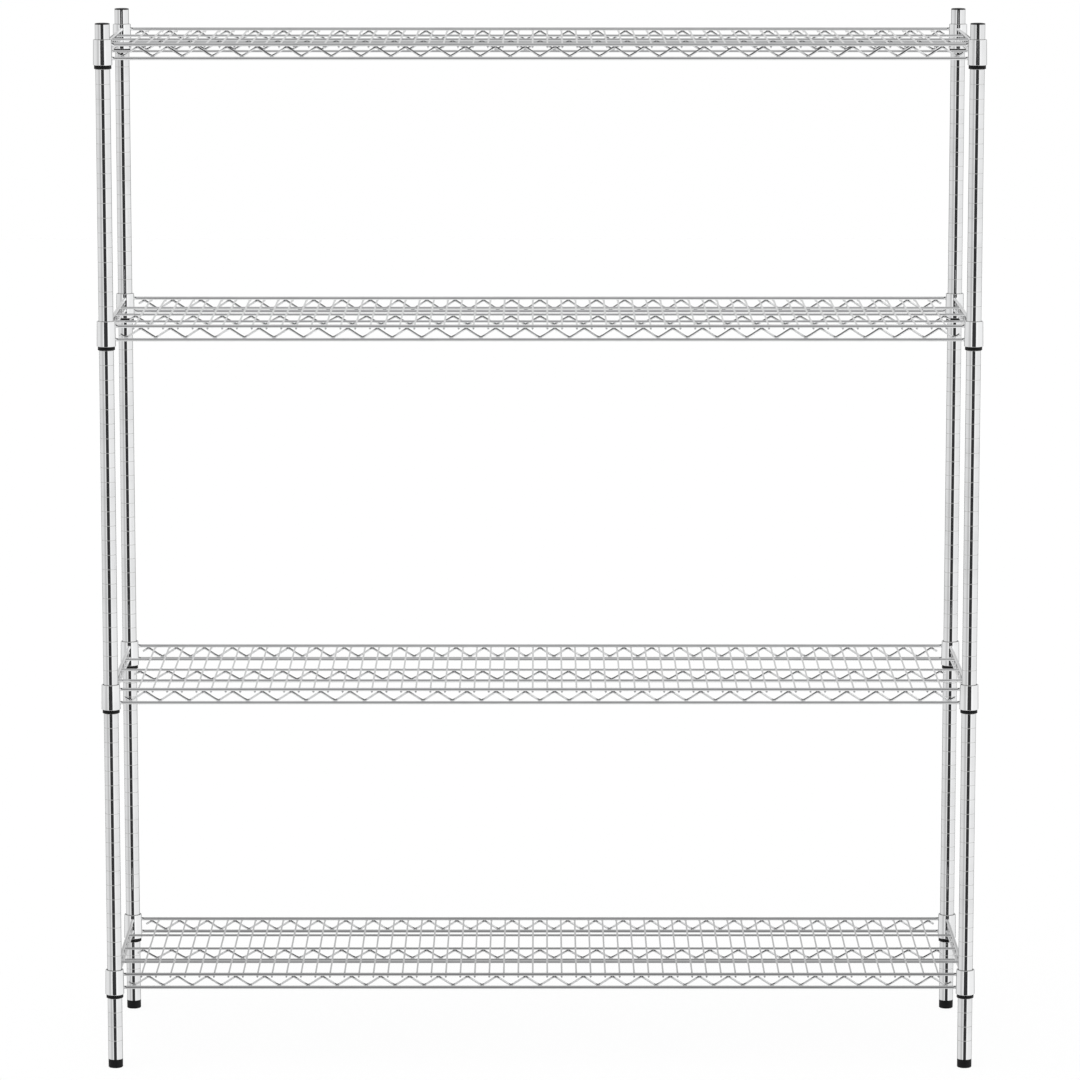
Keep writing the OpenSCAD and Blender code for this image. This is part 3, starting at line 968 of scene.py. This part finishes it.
plating = plating_group()
post_chrome = chrome_finish(
    "post chrome", plating, DRAWN_ALONG_Z, CLEAN, DULL, POST_ROUGHNESS, POST_LINES, grooved=True
)
collar_chrome = chrome_finish(
    "collar chrome", plating, COLLAR_DRAW, POLISHED, CLEAN, COLLAR_ROUGHNESS, COLLAR_LINES
)
weld_chrome = chrome_finish(
    "weld chrome", plating, UNDRAWN, WELDED, SCORCHED, WELD_ROUGHNESS, WELD_LINES
)
zinc = chrome_finish("zinc plate", plating, ZINC_DRAW, ZINC, ZINC_DULL, ZINC_ROUGHNESS, ZINC_LINES)
plastic = plastic_finish("black plastic", grain_group())

for corner, at in POST_XY.items():
    foot = f"{corner}_foot"
    add_slim_chrome(f"{corner}_post", [post_surface(*at)], post_chrome, "posts", f"post_{corner}")
    drum = [foot_surface(*at)]
    add_piece(f"{corner}_levelling_foot", drum, plastic, foot, "black_plastic", f"foot_{corner}")
    stem = [stem_surface(*at)]
    add_piece(f"{corner}_threaded_stem", stem, zinc, foot, "zinc_steel", f"stem_{corner}")

corner_places = list(POST_XY.values())
caps = [cap_surface(*p) for p in corner_places]
add_piece("caps", caps, plastic, "posts", "black_plastic", "post_caps")
inserts = [insert_surface(*p) for p in corner_places]
add_piece("inserts", inserts, zinc, "posts", "zinc_steel", "foot_inserts")

lengthwise = rod(POST_X + WIRE_OVER, STRINGER_R, STRINGER_SIDES, "x")
crosswise = deck_wire()
for level in LEVELS:
    z = SHELF_Z[level]
    body = f"{level}_shelf"
    long_chrome, cross_chrome, zigzag_chrome = wire_finishes(level, plating)
    halves = [sleeve_surface(*p, z, turn) for p in corner_places for turn in (0, math.pi)]
    add_piece(f"{level}_split_sleeves", halves, plastic, "posts", "black_plastic", f"{level}_sleeves")
    rings = [collar_surface(*p, z) for p in corner_places]
    add_piece(f"{body}_collars", rings, collar_chrome, body, "chrome", f"{level}_collars")
    stringers = [moved(lengthwise, (0, y, z + CENTRE_Z[0])) for y in (-STRINGER_Y, STRINGER_Y)]
    centre_wires = [moved(lengthwise, (0, 0, z + height)) for height in CENTRE_Z]
    deck = copies(crosswise, places_at(CROSS_X, 0.0, z))
    wires = {
        "long_rims": (flared_rims("x", POST_X, POST_Y, RIM_Z, z), long_chrome),
        "end_rims": (flared_rims("y", POST_Y, POST_X, END_RIM_Z, z), cross_chrome),
        "long_zigzags": (long_zigzags(z), zigzag_chrome),
        "end_zigzags": (end_zigzags(z), zigzag_chrome),
        "stringers": (stringers, long_chrome),
        "centre_wires": (centre_wires, long_chrome),
        "cross_wires": ([deck], cross_chrome),
    }
    for part, (surfaces, finish) in wires.items():
        add_slim_chrome(f"{body}_{part}", surfaces, finish, body, f"{level}_{part}")
    add_slim_chrome(f"{body}_welds", shelf_welds(z), weld_chrome, body)

bpy.context.scene.view_settings.view_transform = "Standard"
